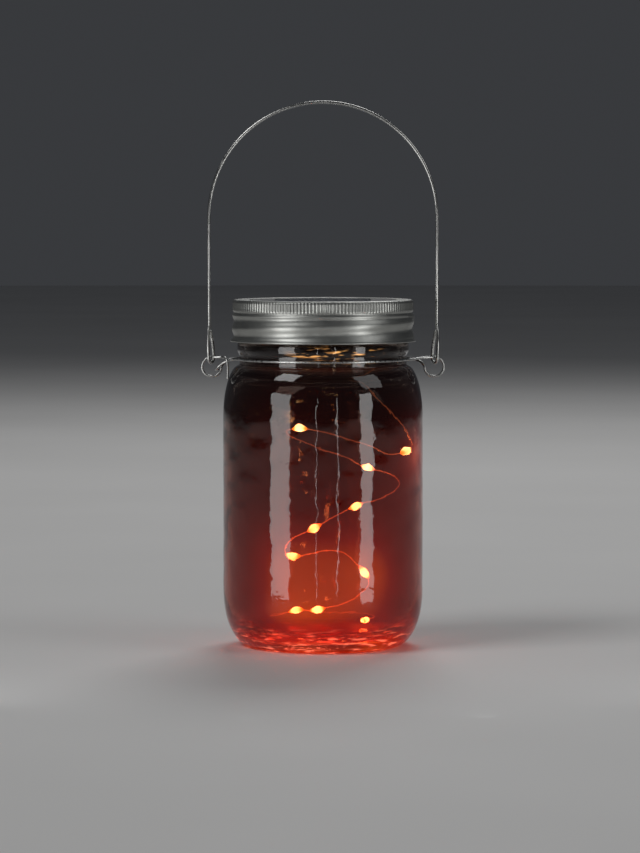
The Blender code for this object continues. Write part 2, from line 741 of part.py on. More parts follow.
def make_lights(parent):
    """A resin drop round the wire at each light, turned along the wire."""
    resin = material("light resin", (1.0, 0.72, 0.30), 0.2)
    side = ellipse_arc((LED_BORE, 0.0), (LED_RADIUS - LED_BORE, LED_HALF_LENGTH), 90.0, -90.0, 8)
    places = [Vector(point) for point, _ in STRING_ROUTE]
    last = len(places) - 1
    number = 0
    for k, (point, is_light) in enumerate(STRING_ROUTE):
        if not is_light:
            continue
        number += 1
        along = places[min(k + 1, last)] - places[k - 1]
        bead = turned(f"led_{number:02d}", side, resin, parent, closed=True, segments=10, location=point)
        bead.rotation_euler = along.to_track_quat("Z", "Y").to_euler()


# ---- the whole lantern ----


def build():
    jar_frame = axis_empty("jar frame", (0.0, 0.0, 0.0))
    insert_frame = axis_empty("insert frame", (0.0, 0.0, 0.0))
    band_frame = axis_empty("band axis", (0.0, 0.0, 0.0))
    bail_frame = axis_empty("bail axis", (0.0, 0.0, HINGE_Z))
    switch_frame = axis_empty("switch axis", (SWITCH_X, SWITCH_Y, COVER_Z[0]))
    make_glass_jar(jar_frame)
    make_neck_wire(jar_frame)
    make_light_string(jar_frame)
    make_lights(jar_frame)
    make_bail(bail_frame)
    make_screw_band(band_frame)
    make_gasket(insert_frame)
    make_insert_housing(insert_frame)
    make_insert_cover(insert_frame)
    make_cover_screws(insert_frame)
    make_wire_grommet(insert_frame)
    make_solar_panel(insert_frame)
    make_battery(insert_frame)
    make_electronics(insert_frame)
    make_switch_knob(switch_frame)
    CUTTERS.hide_render = True
    for item in PARTS.objects:
        if item.type == "MESH" and not item.modifiers:
            smooth_shading(item.data)


clear_scene()
PARTS = new_collection("mason jar lantern")
CUTTERS = new_collection("cutters")
build()
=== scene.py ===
# %% [markdown]
# # Mason jar lantern: the looks
# A lantern made from a screw-top jar. The glass is lacquered, smoke grey at the top and red below. A wire
# bail swings from a wire ring round the neck. The lid is a rolled metal band that holds a solar insert, and a
# string of small lights on fine copper wire hangs from the insert into the jar.
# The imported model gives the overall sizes, the hinge line and the pieces inside the lid. These cells put
# finer surfaces in place of its glass, band, wires and lights, and give every piece a finish.

import json
import math

import bmesh
import bpy
import numpy as np
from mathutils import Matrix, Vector


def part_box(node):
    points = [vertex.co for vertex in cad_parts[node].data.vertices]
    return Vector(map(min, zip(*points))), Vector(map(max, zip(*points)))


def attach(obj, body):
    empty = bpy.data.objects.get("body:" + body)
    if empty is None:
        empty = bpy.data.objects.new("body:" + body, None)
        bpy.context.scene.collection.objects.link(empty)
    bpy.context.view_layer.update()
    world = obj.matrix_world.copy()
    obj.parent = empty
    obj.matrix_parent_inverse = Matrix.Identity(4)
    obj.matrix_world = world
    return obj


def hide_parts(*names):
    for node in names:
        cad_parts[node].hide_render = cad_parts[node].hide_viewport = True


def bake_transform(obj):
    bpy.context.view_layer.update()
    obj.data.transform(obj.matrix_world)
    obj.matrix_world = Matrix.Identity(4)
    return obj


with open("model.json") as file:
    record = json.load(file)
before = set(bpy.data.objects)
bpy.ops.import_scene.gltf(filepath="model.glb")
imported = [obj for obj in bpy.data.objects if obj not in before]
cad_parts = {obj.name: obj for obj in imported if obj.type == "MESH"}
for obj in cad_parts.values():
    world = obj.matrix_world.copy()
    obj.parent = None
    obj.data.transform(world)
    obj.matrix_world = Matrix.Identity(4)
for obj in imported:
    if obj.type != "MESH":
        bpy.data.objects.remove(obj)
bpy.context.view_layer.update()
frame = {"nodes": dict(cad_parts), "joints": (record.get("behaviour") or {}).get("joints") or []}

# %% [markdown]
# ## Camera
# A long lens 1.5 m away keeps the upright lines of the jar straight. It stands a little above the lid and
# looks slightly down, so that the lid's top shows as a thin line and the foot as a fuller curve.

# %% Camera
SENSOR_WIDTH = 36.0
LENS_LENGTH = 208.9125
CAMERA_SIDESTEP = -0.0012
CAMERA_DISTANCE = 1.5
CAMERA_HEIGHT = 0.1822
LOOK_DOWN = math.radians(3.57)

lens = bpy.data.cameras.new("camera")
lens.sensor_fit = "HORIZONTAL"
lens.sensor_width = SENSOR_WIDTH
lens.lens = LENS_LENGTH
camera = bpy.data.objects.new("camera", lens)
camera.location = (CAMERA_SIDESTEP, -CAMERA_DISTANCE, CAMERA_HEIGHT)
camera.rotation_euler = (math.pi / 2 - LOOK_DOWN, 0.0, 0.0)
bpy.context.scene.collection.objects.link(camera)
bpy.context.scene.camera = camera
print("lens:", round(lens.lens, 1), "mm")

# %% [markdown]
# ## Grids into meshes
# Every new piece is a surface over a grid: one direction runs along a profile or a path, the other runs
# round it. The points are worked out as whole arrays, and one helper turns any such array into a mesh.
# Where a ring shrinks to a point, at a pole or a wire's end, its points are merged into one.

# %% Helper: a mesh from a grid of points
MERGE_DISTANCE = 1e-7


def grid_quads(rows, columns, closed_along):
    """Corner numbers of each small four-sided face, for a grid that closes on itself round its columns, and
    along its rows too if closed_along is set. Row i and column j is point i times columns plus j."""
    steps = rows if closed_along else rows - 1
    i = np.arange(steps)[:, None]
    j = np.arange(columns)[None, :]
    below = (i + 1) % rows
    beside = (j + 1) % columns
    corners = [i * columns + j, below * columns + j, below * columns + beside, i * columns + beside]
    return np.stack([np.broadcast_to(c, (steps, columns)) for c in corners], axis=-1).reshape(-1, 4)


def mesh_piece(name, grids, surface, closed_along=False):
    """One object from one or more (rows, columns, 3) grids, smooth shaded, with poles merged."""
    corners, quads, first = [], [], 0
    for grid in grids:
        rows, columns = grid.shape[:2]
        corners.append(grid.reshape(-1, 3))
        quads.append(grid_quads(rows, columns, closed_along) + first)
        first += rows * columns
    corners, quads = np.concatenate(corners), np.concatenate(quads)
    mesh = bpy.data.meshes.new(name)
    mesh.vertices.add(len(corners))
    mesh.vertices.foreach_set("co", corners.astype(np.float32).ravel())
    mesh.loops.add(quads.size)
    mesh.loops.foreach_set("vertex_index", quads.astype(np.int32).ravel())
    mesh.polygons.add(len(quads))
    mesh.polygons.foreach_set("loop_start", np.arange(len(quads), dtype=np.int32) * 4)
    mesh.update(calc_edges=True)
    work = bmesh.new()
    work.from_mesh(mesh)
    bmesh.ops.remove_doubles(work, verts=work.verts, dist=MERGE_DISTANCE)
    work.to_mesh(mesh)
    work.free()
    mesh.shade_smooth()
    mesh.materials.append(surface)
    piece = bpy.data.objects.new(name, mesh)
    bpy.context.scene.collection.objects.link(piece)
    print(f"{name}: {len(mesh.vertices)} points, {len(mesh.polygons)} faces")
    return piece


def mesh_points(piece):
    """The piece's points as an array."""
    flat = np.empty(len(piece.data.vertices) * 3, np.float32)
    piece.data.vertices.foreach_get("co", flat)
    return flat.reshape(-1, 3).astype(float)


def store_on_points(piece, name, values):
    """Keep one number for each point of the mesh, for a material to read."""
    attribute = piece.data.attributes.new(name, "FLOAT", "POINT")
    attribute.data.foreach_set("value", values.astype(np.float32))


# %% [markdown]
# ## Materials: shared effects
# Real surfaces are never one flat colour. Four kinds of noise are used here: soft blotches, a fine grain,
# hairline scratches along Z, and level glints, which place painted glints of light on the glass. Each is a
# node group that turns noise into a mask, and each material mixes the masks its own way.

# %% Node groups for blotches, grain, glints and scratches
def new_group(name, inputs, outputs):
    """An empty node group with number inputs (name, start value) and number outputs."""
    group = bpy.data.node_groups.new(name, "ShaderNodeTree")
    for label, value in inputs:
        socket = group.interface.new_socket(label, in_out="INPUT", socket_type="NodeSocketFloat")
        socket.default_value = value
    for label in outputs:
        group.interface.new_socket(label, in_out="OUTPUT", socket_type="NodeSocketFloat")
    return group, group.nodes.new("NodeGroupInput"), group.nodes.new("NodeGroupOutput")


def noise_group(name, z_scale, detail, low, high):
    """Noise on object coordinates, with Z scaled first. The mask is 0 where the noise is at its low level or
    under it, and rises evenly to 1 at the high level."""
    group, given, result = new_group(name, [("Scale", 100.0)], ["Mask"])
    place = group.nodes.new("ShaderNodeTexCoord")
    mapping = group.nodes.new("ShaderNodeMapping")
    mapping.inputs["Scale"].default_value = (1.0, 1.0, z_scale)
    noise = group.nodes.new("ShaderNodeTexNoise")
    noise.inputs["Detail"].default_value = detail
    level = group.nodes.new("ShaderNodeMapRange")
    level.inputs["From Min"].default_value = low
    level.inputs["From Max"].default_value = high
    links = group.links
    links.new(place.outputs["Object"], mapping.inputs["Vector"])
    links.new(mapping.outputs["Vector"], noise.inputs["Vector"])
    links.new(given.outputs["Scale"], noise.inputs["Scale"])
    links.new(noise.outputs["Fac"], level.inputs["Value"])
    links.new(level.outputs["Result"], result.inputs["Mask"])
    return group


BLOTCHES = noise_group("soft blotches", 1.0, 3.0, 0.35, 0.65)
GRAIN = noise_group("fine grain", 1.0, 6.0, 0.2, 0.8)
# Painted glints of light on the glass come out where this mask is high.
GLINTS = noise_group("level glints", 7.0, 2.0, 0.57, 0.68)
SCRATCHES = noise_group("hairline scratches", 0.03, 4.0, 0.45, 0.62)
print("node groups:", [g.name for g in bpy.data.node_groups])


# %% Helper: a material under construction
GLASS_IOR = 1.5


class Finish:
    """A material with one Principled shader, and short ways to add to it."""

    def __init__(self, name, roughness, metallic=0.0):
        self.material = bpy.data.materials.new(name)
        self.material.use_nodes = True
        self.nodes = self.material.node_tree.nodes
        self.links = self.material.node_tree.links
        self.shader = self.nodes["Principled BSDF"]
        self.shader.inputs["Roughness"].default_value = roughness
        self.shader.inputs["Metallic"].default_value = metallic

    def mask(self, group, scale):
        """The output of one of the shared masks, at a scale in repeats for each metre."""
        node = self.nodes.new("ShaderNodeGroup")
        node.node_tree = group
        node.inputs["Scale"].default_value = scale
        return node.outputs["Mask"]

    def ramp(self, mask, stops):
        """A colour for each level of a mask. Stops are (level, colour)."""
        node = self.nodes.new("ShaderNodeValToRGB")
        points = node.color_ramp.elements
        while len(points) < len(stops):
            points.new(0.5)
        for point, (level, colour) in zip(points, stops):
            point.position = level
            point.color = (*colour, 1.0)
        self.links.new(mask, node.inputs["Fac"])
        return node.outputs["Color"]

    def between(self, mask, low, high):
        """A number that goes from low to high as the mask goes from 0 to 1."""
        node = self.nodes.new("ShaderNodeMapRange")
        node.inputs["To Min"].default_value = low
        node.inputs["To Max"].default_value = high
        self.links.new(mask, node.inputs["Value"])
        return node.outputs["Result"]

    def attribute(self, name):
        """A number kept on the mesh's points."""
        node = self.nodes.new("ShaderNodeAttribute")
        node.attribute_name = name
        return node.outputs["Fac"]

    def colour(self, mask, stops):
        """Base colour that follows a mask."""
        self.links.new(self.ramp(mask, stops), self.shader.inputs["Base Color"])

    def roughness(self, mask, low, high):
        """Roughness that follows a mask."""
        self.links.new(self.between(mask, low, high), self.shader.inputs["Roughness"])

    def bump(self, height, depth):
        """Raise the surface by a height mask. Depth is in metres."""
        node = self.nodes.new("ShaderNodeBump")
        node.inputs["Strength"].default_value = 1.0
        node.inputs["Distance"].default_value = depth
        self.links.new(height, node.inputs["Height"])
        self.links.new(node.outputs["Normal"], self.shader.inputs["Normal"])

    def shine(self, colour, strength):
        """Light given off by the surface itself."""
        self.links.new(colour, self.shader.inputs["Emission Color"])
        self.shader.inputs["Emission Strength"].default_value = strength

    def clear(self, tint=None):
        """Glass, as far as the eye sees it. Shadow rays go straight through it, tinted if a colour is given,
        so that a lamp on one side lights what is on the other."""
        self.shader.inputs["Transmission Weight"].default_value = 1.0
        self.shader.inputs["IOR"].default_value = GLASS_IOR
        through = self.nodes.new("ShaderNodeBsdfTransparent")
        if tint is not None:
            self.links.new(tint, through.inputs["Color"])
        rays = self.nodes.new("ShaderNodeLightPath")
        mix = self.nodes.new("ShaderNodeMixShader")
        self.links.new(rays.outputs["Is Shadow Ray"], mix.inputs["Fac"])
        self.links.new(self.shader.outputs["BSDF"], mix.inputs[1])
        self.links.new(through.outputs["BSDF"], mix.inputs[2])
        self.links.new(mix.outputs["Shader"], self.nodes["Material Output"].inputs["Surface"])


def shades(colour, spread):
    """A darker and a lighter stop round one colour."""
    dark = tuple(c * (1.0 - spread) for c in colour)
    light = tuple(min(1.0, c * (1.0 + spread)) for c in colour)
    return [(0.0, dark), (1.0, light)]


def moulded(name, colour, roughness, grain=4000.0, depth=0.00002):
    """Moulded plastic or rubber: an even colour with a fine matt grain."""
    finish = Finish(name, roughness)
    finish.colour(finish.mask(BLOTCHES, 180.0), shades(colour, 0.12))
    fine = finish.mask(GRAIN, grain)
    finish.roughness(fine, roughness - 0.08, roughness + 0.08)
    finish.bump(fine, depth)
    return finish.material


def plated(name, colour, roughness):
    """Drawn or plated metal: long hairlines and slightly cloudy plating."""
    finish = Finish(name, roughness, 1.0)
    finish.colour(finish.mask(BLOTCHES, 220.0), shades(colour, 0.14))
    lines = finish.mask(SCRATCHES, 900.0)
    finish.roughness(lines, roughness, roughness + 0.16)
    finish.bump(lines, 0.000006)
    return finish.material


# %% [markdown]
# ## Light string: the wire
# The string is two enamelled copper wires, each 0.3 mm thick, twisted loosely together.
# It leaves the insert through a grommet, wanders down in front of the jar's middle and ends on the floor of
# the jar, so it stays where its stiffness and its kinks put it. It could be one smooth tube, but two twisted
# strands catch the light in small dashes, as real fairy-light wire does.
# The route is a list of given points, joined by a smooth curve that is straight inside each light.

# %% Route of the string
STRING_DIAMETER = 0.0006
STRING_STEP = 0.0003
STRAIGHT_HALF_LENGTH = 0.0024
STRING_ROUTE = (
    ((0.0110, -0.0090, 0.1270), False),
    ((0.0110, -0.0090, 0.1225), False),
    ((0.0110, -0.0090, 0.1185), False),
    ((0.0145, -0.0080, 0.1135), False),
    ((0.0220, -0.0085, 0.1010), False),
    ((0.0315, -0.0095, 0.0895), False),
    ((0.0350, -0.0095, 0.0825), False),
    ((0.0326, -0.0135, 0.0798), True),
    ((0.0260, -0.0170, 0.0786), False),
    ((0.0175, -0.0212, 0.0826), False),
    ((0.0060, -0.0230, 0.0863), False),
    ((-0.0040, -0.0225, 0.0888), False),
    ((-0.0091, -0.0215, 0.0893), True),
    ((-0.0145, -0.0180, 0.0882), False),
    ((-0.0120, -0.0140, 0.0856), False),
    ((-0.0010, -0.0100, 0.0805), False),
    ((0.0080, -0.0100, 0.0770), False),
    ((0.0175, -0.0120, 0.0729), True),
    ((0.0275, -0.0140, 0.0700), False),
    ((0.0300, -0.0130, 0.0655), False),
    ((0.0235, -0.0120, 0.0606), False),
    ((0.0130, -0.0130, 0.0572), True),
    ((0.0045, -0.0160, 0.0534), False),
    ((-0.0036, -0.0180, 0.0491), True),
    ((-0.0116, -0.0170, 0.0452), False),
    ((-0.0150, -0.0160, 0.0413), False),
    ((-0.0121, -0.0160, 0.0380), True),
    ((0.0070, -0.0185, 0.0396), False),
    ((0.0162, -0.0180, 0.0312), True),
    ((0.0176, -0.0180, 0.0255), False),
    ((0.0100, -0.0185, 0.0194), False),
    ((-0.0021, -0.0190, 0.0157), True),
    ((-0.0106, -0.0185, 0.0152), True),
    ((-0.0190, -0.0120, 0.0116), False),
    ((-0.0210, 0.0030, 0.0092), False),
    ((-0.0110, 0.0160, 0.0088), False),
    ((0.0050, 0.0185, 0.0088), False),
    ((0.0180, 0.0090, 0.0090), False),
    ((0.0210, -0.0040, 0.0094), False),
    ((0.0169, -0.0120, 0.0094), True),
)


route_places = np.array([place for place, _ in STRING_ROUTE])
route_lit = np.array([is_light for _, is_light in STRING_ROUTE])
light_places = route_places[route_lit]


def headings(points):
    """Which way a line runs through each of its points: from the point before to the point after."""
    number = np.arange(len(points))
    heading = points[np.minimum(number + 1, len(points) - 1)] - points[np.maximum(number - 1, 0)]
    return heading / np.linalg.norm(heading, axis=1, keepdims=True)


def distance_along(path):
    """How far along a line each of its points lies."""
    return np.concatenate(([0.0], np.cumsum(np.linalg.norm(np.diff(path, axis=0), axis=1))))


def route_points(places, lit):
    """The route with each light's point replaced by the two ends of its straight stretch."""
    reach = headings(places) * STRAIGHT_HALF_LENGTH
    before = np.where(lit[:, None], places - reach, places)
    doubled = np.stack([before, places + reach], axis=1)
    keep = np.stack([np.ones(len(places), bool), lit], axis=1)
    return doubled[keep]


def smooth_path(points, samples):
    """A cubic curve through the points. At each point it heads from the point before to the point after,
    with a speed equal to the length of its own span."""
    heading = headings(points)
    start, end = points[:-1, None], points[1:, None]
    span = np.linalg.norm(end - start, axis=2, keepdims=True)
    t = (np.arange(samples) / samples)[None, :, None]
    curve = (
        start * (2 * t**3 - 3 * t**2 + 1)
        + heading[:-1, None] * span * (t**3 - 2 * t**2 + t)
        + end * (3 * t**2 - 2 * t**3)
        + heading[1:, None] * span * (t**3 - t**2)
    )
    return np.concatenate([curve.reshape(-1, 3), points[-1:]])


def even_path(path, step):
    """The same line with its points a constant step apart."""
    reach = distance_along(path)
    walk = np.linspace(0.0, reach[-1], max(2, round(reach[-1] / step) + 1))
    return np.column_stack([np.interp(walk, reach, path[:, k]) for k in range(3)])


string_path = even_path(smooth_path(route_points(route_places, route_lit), 24), STRING_STEP)


# %% Helper: a round tube along a path
CAP_RINGS = 4


def path_frames(path):
    """Three directions at each point: along the path, across it, and over both. Across starts as the cross
    product with one steady direction, and a running sum of its turning is taken out, so it never twists."""
    along = np.gradient(path, axis=0)
    along /= np.linalg.norm(along, axis=1, keepdims=True)
    across = np.cross(along, (0.36, 0.48, 0.80))
    across /= np.linalg.norm(across, axis=1, keepdims=True)
    over = np.cross(along, across)
    carried = across[:-1] - (across[:-1] * along[1:]).sum(axis=1, keepdims=True) * along[1:]
    turn = np.arctan2((carried * over[1:]).sum(axis=1), (carried * across[1:]).sum(axis=1))
    twist = np.concatenate(([0.0], np.cumsum(turn)))[:, None]
    turned_across = across * np.cos(twist) + over * np.sin(twist)
    turned_over = over * np.cos(twist) - across * np.sin(twist)
    return along, turned_across, turned_over


def tube_grid(path, radius, sides):
    """Rings round a path: centre plus radius times (across cos a minus over sin a). Each end is rounded by a
    few rings that shrink like a half sphere."""
    along, across, over = path_frames(path)
    lean = np.linspace(0.0, math.pi / 2, CAP_RINGS + 1)[:-1]
    rise = radius * np.cos(lean)[:, None]
    centres = np.concatenate([path[:1] - along[:1] * rise, path, (path[-1:] + along[-1:] * rise)[::-1]])
    widths = radius * np.concatenate([np.sin(lean), np.ones(len(path)), np.sin(lean)[::-1]])
    rows = np.clip(np.arange(-CAP_RINGS, len(path) + CAP_RINGS), 0, len(path) - 1)
    angle = (np.arange(sides) * math.tau / sides)[None, :, None]
    ring = across[rows][:, None] * np.cos(angle) - over[rows][:, None] * np.sin(angle)
    return centres[:, None] + ring * widths[:, None, None]


# %% Copper finish and the twisted string
STRAND_RADIUS = STRING_DIAMETER / 4
TWIST_LENGTH = 0.0026
COPPER_LAMP_REACH = 0.005


def copper_wire():
    """Enamelled copper: warm metal under a thin glossy lacquer, cloudy in places. Close to a lamp it gives off
    a painted glow in place of the lamp's light on it, and how close is kept on the mesh."""
    finish = Finish("string copper", 0.28, 1.0)
    finish.colour(finish.mask(BLOTCHES, 300.0), [(0.0, (0.62, 0.27, 0.12)), (1.0, (0.86, 0.47, 0.24))])
    finish.roughness(finish.mask(GRAIN, 5000.0), 0.20, 0.38)
    finish.shader.inputs["Coat Weight"].default_value = 0.6
    finish.shader.inputs["Coat Roughness"].default_value = 0.08
    # Painted glow: the wire gives off the lamps' warm light where it lies near them.
    lamplight = finish.attribute("lamplight")
    finish.shine(finish.ramp(lamplight, [(0.0, (0.10, 0.03, 0.01)), (1.0, (1.0, 0.46, 0.20))]), 1.6)
    return finish.material


def strand(path, phase):
    """One strand's own line: it circles the string's line once every twist length, its own radius out."""
    _, across, over = path_frames(path)
    angle = (phase + math.tau * distance_along(path) / TWIST_LENGTH)[:, None]
    return path + STRAND_RADIUS * (across * np.cos(angle) + over * np.sin(angle))


def lamp_nearness(points, lamps, reach, power=1.0):
    """For each point, the sum over all lamps of 1 / (1 + (distance / reach) squared), to a power."""
    gap = points[:, None, :] - lamps[None, :, :]
    return ((1.0 + (gap**2).sum(axis=2) / reach**2) ** -power).sum(axis=1)


strand_grids = [tube_grid(strand(string_path, phase), STRAND_RADIUS, 6) for phase in (0.0, math.pi)]
light_string = mesh_piece("light_string", strand_grids, copper_wire())
nearness = lamp_nearness(mesh_points(light_string), light_places, COPPER_LAMP_REACH)
store_on_points(light_string, "lamplight", np.clip(nearness, 0.0, 1.0))
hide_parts("string_wire")

# %% [markdown]
# ## Lights
# Each light is a diode soldered across the two wires and sealed in a drop of clear resin. Before it set, the
# resin crept along the wires, so a drop is thick in the middle and runs out in two thin tails. Lit, its
# middle is nearly white, and its tails are amber. A drop is a tube along the string's own line with a radius
# that swells and falls. How near a point lies to the drop's middle is kept on the mesh, and the glow follows.

# %% Glowing resin
LIGHT_RADIUS = 0.0016
TAIL_LENGTH = 0.0034
DROP_COLUMNS = 18
LUMP = 0.12
MIDDLE_GAIN = 1.5


def lit_resin():
    """Amber resin, glossy, with a glow that runs from amber in the tails to warm white in the middle."""
    finish = Finish("light resin", 0.12)
    middle = finish.attribute("middle")
    finish.colour(middle, [(0.0, (0.80, 0.34, 0.08)), (1.0, (1.0, 0.80, 0.42))])
    stops = [(0.0, (0.10, 0.022, 0.001)), (0.4, (0.40, 0.16, 0.015)), (0.8, (1.0, 0.88, 0.42))]
    finish.shine(finish.ramp(middle, stops), 26.0)
    finish.bump(finish.mask(GRAIN, 1500.0), 0.00003)
    return finish.material


def drop_grid(number):
    """A drop along the string near one light. With s from -1 at one tail's end to 1 at the other's, its
    radius is the string's plus a swell. The swell is the drop's own radius less the string's, times
    (1 - s squared) to the power 1.6, times a lump that makes it a little thicker on one side."""
    gap = np.linalg.norm(string_path - light_places[number], axis=1)
    centre = int(gap.argmin())
    half = round(TAIL_LENGTH / STRING_STEP)
    rows = np.arange(max(centre - half, 0), min(centre + half + 1, len(string_path)))
    _, across, over = (f[rows][:, None] for f in path_frames(string_path))
    s = ((rows - centre) / half)[:, None]
    angle = (np.arange(DROP_COLUMNS) * math.tau / DROP_COLUMNS)[None, :]
    lump = 1.0 + LUMP * np.cos(angle + number) * (1.0 + 0.5 * np.sin(3.0 * s))
    swell = (LIGHT_RADIUS - STRING_DIAMETER / 2) * np.clip(1.0 - s**2, 0.0, 1.0) ** 1.6
    width = np.where(np.abs(s) < 1.0, STRING_DIAMETER / 2 + swell * lump, 0.0)[..., None]
    ring = across * np.cos(angle)[..., None] - over * np.sin(angle)[..., None]
    return string_path[rows][:, None] + ring * width


def make_lights(surface):
    """A drop at every light of the string, numbered as the nodes it stands for."""
    drops = []
    for number in range(len(light_places)):
        drop = mesh_piece(f"light_drop_{number + 1:02d}", [drop_grid(number)], surface)
        reach = np.linalg.norm(mesh_points(drop) - light_places[number], axis=1) / TAIL_LENGTH
        store_on_points(drop, "middle", np.clip(1.0 - reach, 0.0, 1.0) * MIDDLE_GAIN)
        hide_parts(f"led_{number + 1:02d}")
        drops.append(drop)
    return drops


light_drops = make_lights(lit_resin())
print("lights:", len(light_drops))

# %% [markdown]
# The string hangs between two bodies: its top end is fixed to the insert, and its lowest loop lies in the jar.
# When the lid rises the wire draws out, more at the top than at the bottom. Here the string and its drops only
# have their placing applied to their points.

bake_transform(light_string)
for place, drop in zip(light_places, light_drops):
    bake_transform(drop)

# %% [markdown]
# ## Glass jar
# Pressed glass: thick in the heel, thinner in the wall, with a flat rim that is ground for the seal. The jar
# is one closed surface, because light must enter and leave the glass through real faces to bend as it should.
# Its outline is walked from the middle of the floor, up the inside, over the rim and down the outside to the
# foot, then rounded by averaging. Pressed glass is never quite true, so both faces carry slow, shallow waves,
# and a ring of dimples runs round the foot. The tint is on both faces of the wall and colours light at each.
# Two more effects are painted light that the glass gives off itself: a painted glow near each lamp, in place
# of the light the lacquer scatters, and small painted glints at the neck and the foot, in place of lamplight
# caught in the glass. How strong they are at each point is kept on the mesh.

# %% Helper: outlines
FINE_STEP = 0.00005


def arc(centre, radii, start_deg, end_deg, steps=24):
    """Points on an ellipse between two angles."""
    angle = np.radians(np.linspace(start_deg, end_deg, steps))
    return np.column_stack([centre[0] + radii[0] * np.cos(angle), centre[1] + radii[1] * np.sin(angle)])


def rounded_outline(corners, soften, closed=False):
    """Walk the outline in fine steps, then average it over the length soften, which rounds its corners."""
    corners = np.asarray(corners, float)
    if closed:
        corners = np.concatenate([corners, corners[:1]])
    reach = distance_along(corners)
    walk = np.arange(0.0, reach[-1], FINE_STEP)
    line = np.column_stack([np.interp(walk, reach, corners[:, k]) for k in (0, 1)])
    half = round(soften / FINE_STEP)
    window = np.hanning(2 * half + 1)
    padded = np.pad(line, ((half, half), (0, 0)), mode="wrap" if closed else "edge")
    smooth = np.column_stack([np.convolve(padded[:, k], window / window.sum(), mode="valid") for k in (0, 1)])
    if not closed:
        smooth[0], smooth[-1] = corners[0], corners[-1]
    return smooth


def chosen_rows(outline, count, detail):
    """Pick rows from a fine outline, closer together where detail is greater."""
    reach = np.concatenate(([0.0], np.cumsum(detail[1:])))
    wanted = np.linspace(0.0, reach[-1], count)
    return np.column_stack([np.interp(wanted, reach, outline[:, k]) for k in (0, 1)])


def smoothstep(low, high, value):
    """0 below low, 1 above high, and an S-shaped rise between them. With low above high it falls instead."""
    t = np.clip((value - low) / (high - low), 0.0, 1.0)
    return t * t * (3.0 - 2.0 * t)


def turned_grid(radius, height, angle):
    """Points at a radius and height, each a (rows, columns) array, at one angle for each column."""
    return np.stack([radius * np.cos(angle), radius * np.sin(angle), height + 0.0 * radius], axis=-1)


# %% The jar's outline
jar_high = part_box("glass_jar")[1]
BODY_RADIUS = jar_high[0]
JAR_HEIGHT = jar_high[2]
WALL = 0.0027
FLOOR_Z = 0.0054
HEEL_TOP_Z = 0.022
FOOT_RADIUS = 0.0296
SHOULDER_Z = 0.092
SHOULDER_TOP_Z = 0.1135
GROOVE_RADIUS = 0.0338
FINISH_RADIUS = 0.0333
MOUTH_RADIUS = 0.0306
NECK_BEAD_RADIUS = 0.0346
NECK_BEAD_LOW, NECK_BEAD_HIGH = 0.1190, 0.1230
INNER_FLOOR_RADIUS = 0.0265
INNER_SHOULDER_RISE = 0.0195
FLOOR_DOME = 0.0018
RIM_BEVEL = 0.0004
CORNER_SOFTENING = 0.0008
JAR_ROWS, JAR_COLUMNS = 290, 300


def jar_outline():
    """The whole outline: floor, inside, rim, finish, neck bead, groove, shoulder, wall, heel and foot."""
    inside = BODY_RADIUS - WALL
    inner_heel_radii = (inside - INNER_FLOOR_RADIUS, HEEL_TOP_Z - FLOOR_Z)
    shoulder_radii = (BODY_RADIUS - GROOVE_RADIUS, SHOULDER_TOP_Z - SHOULDER_Z)
    parts = [
        [(0.0, FLOOR_Z + FLOOR_DOME), (0.0140, FLOOR_Z + 0.0010)],
        arc((INNER_FLOOR_RADIUS, HEEL_TOP_Z), inner_heel_radii, -90.0, 0.0),
        arc((MOUTH_RADIUS, SHOULDER_Z - 0.002), (inside - MOUTH_RADIUS, INNER_SHOULDER_RISE), 0.0, 90.0),
        [(MOUTH_RADIUS, JAR_HEIGHT - 0.0003), (MOUTH_RADIUS + 0.0003, JAR_HEIGHT)],
        [(FINISH_RADIUS - RIM_BEVEL, JAR_HEIGHT), (FINISH_RADIUS, JAR_HEIGHT - RIM_BEVEL)],
        [(FINISH_RADIUS, NECK_BEAD_HIGH + 0.0006), (NECK_BEAD_RADIUS, NECK_BEAD_HIGH - 0.0006)],
        [(NECK_BEAD_RADIUS, NECK_BEAD_LOW + 0.0002), (GROOVE_RADIUS, NECK_BEAD_LOW - 0.0010)],
        arc((GROOVE_RADIUS, SHOULDER_Z), shoulder_radii, 90.0, 0.0),
        arc((FOOT_RADIUS, HEEL_TOP_Z), (BODY_RADIUS - FOOT_RADIUS, HEEL_TOP_Z), 0.0, -80.0),
        [(FOOT_RADIUS + 0.0010, 0.0), (FOOT_RADIUS - 0.0022, 0.0), (0.0240, 0.0011), (0.0, 0.0024)],
    ]
    outline = rounded_outline(np.concatenate([np.asarray(p, float) for p in parts]), CORNER_SOFTENING)
    outline[:, 1] = np.maximum(outline[:, 1], 0.0)
    neck = smoothstep(SHOULDER_TOP_Z - 0.002, SHOULDER_TOP_Z, outline[:, 1])
    return chosen_rows(outline, JAR_ROWS, 1.0 + 3.0 * neck)


# %% Threads
# A thread is a ridge or a groove whose height climbs by one pitch in each turn. For any point the distance to
# the nearest turn is the height left over after whole pitches are taken away.
THREAD_PITCH = 0.00635
BAND_THREAD_START = math.radians(-177.0)
BAND_THREAD_START_Z = 0.1252
JAR_THREAD_START_Z = 0.1261
THREAD_FADE = math.radians(20.0)


def thread_profile(angle, height, start_angle, start_z, sweep, half_width):
    """1 on the thread's line, falling like a cosine to 0 at half_width above and below it, and faded out over
    the last twenty degrees at each end."""
    climbed = math.tau * (height - start_z) / THREAD_PITCH
    off_line = (climbed - (angle - start_angle) + math.pi) % math.tau - math.pi
    distance = THREAD_PITCH * off_line / math.tau
    along = climbed - off_line
    ends = smoothstep(0.0, THREAD_FADE, along) * smoothstep(sweep, sweep - THREAD_FADE, along)
    across = np.clip(np.abs(distance) / half_width, 0.0, 1.0)
    return ends * 0.5 * (1.0 + np.cos(math.pi * across))


